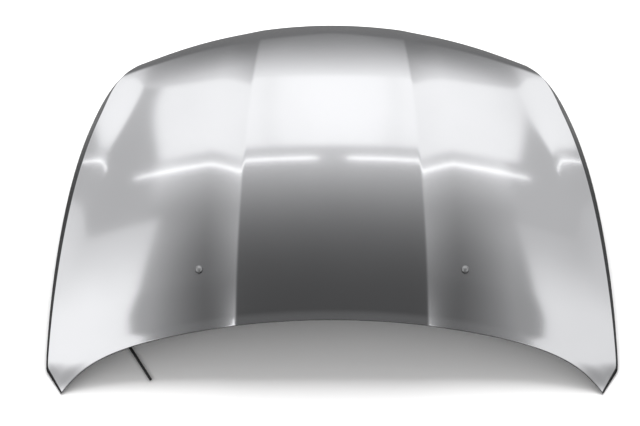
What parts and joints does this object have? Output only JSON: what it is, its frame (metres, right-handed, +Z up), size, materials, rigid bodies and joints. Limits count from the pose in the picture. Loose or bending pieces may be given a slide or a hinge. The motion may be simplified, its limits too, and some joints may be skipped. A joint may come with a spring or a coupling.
{
  "type": "car bonnet",
  "caption": "Pressed steel car bonnet with twin creases, hemmed skin over a ribbed inner frame, washer jets with hose, striker loop and hinge seats.",
  "frame": {"origin": "middle of the outline, on the floor that the rear tips and the nose lie on", "axes": "+Z up out of the skin, +Y towards the nose, +X to the right of somebody standing at the windscreen"},
  "size_m": [1.45, 1.0068, 0.1653],
  "materials": {
    "body_paint": "gloss metallic grey",
    "inner_paint": "satin",
    "zinc_steel": "zinc plated",
    "jet_plastic": "semi gloss",
    "black_plastic": "matt",
    "rubber": "matt",
    "mastic": "matt"
  },
  "bodies": {
    "root": {"edge_buffer_left_front": "rubber", "edge_buffer_left_rear": "rubber", "edge_buffer_right_front": "rubber", "edge_buffer_right_rear": "rubber", "hinge_nut_left_front": "zinc_steel", "hinge_nut_left_rear": "zinc_steel", "hinge_nut_right_front": "zinc_steel", "hinge_nut_right_rear": "zinc_steel", "hinge_plate_left": "zinc_steel", "hinge_plate_right": "zinc_steel", "hose_clip_1": "black_plastic", "hose_clip_2": "black_plastic", "hose_clip_3": "black_plastic", "hose_clip_4": "black_plastic", "hose_cross": "rubber", "hose_jet_left": "rubber", "hose_supply": "rubber", "hose_tail": "rubber", "hose_tee": "black_plastic", "inner_frame": "inner_paint", "jet_gasket_left": "rubber", "jet_gasket_right": "rubber", "latch_nut_left": "zinc_steel", "latch_nut_right": "zinc_steel", "latch_plate": "zinc_steel", "mastic_pad_1": "mastic", "mastic_pad_10": "mastic", "mastic_pad_11": "mastic", "mastic_pad_2": "mastic", "mastic_pad_3": "mastic", "mastic_pad_4": "mastic", "mastic_pad_5": "mastic", "mastic_pad_6": "mastic", "mastic_pad_7": "mastic", "mastic_pad_8": "mastic", "mastic_pad_9": "mastic", "outer_skin": "body_paint", "striker_bolt_left": "zinc_steel", "striker_bolt_right": "zinc_steel", "striker_loop": "zinc_steel", "striker_plate": "zinc_steel", "washer_jet_left": "jet_plastic", "washer_jet_right": "jet_plastic"}
  },
  "joints": []
}
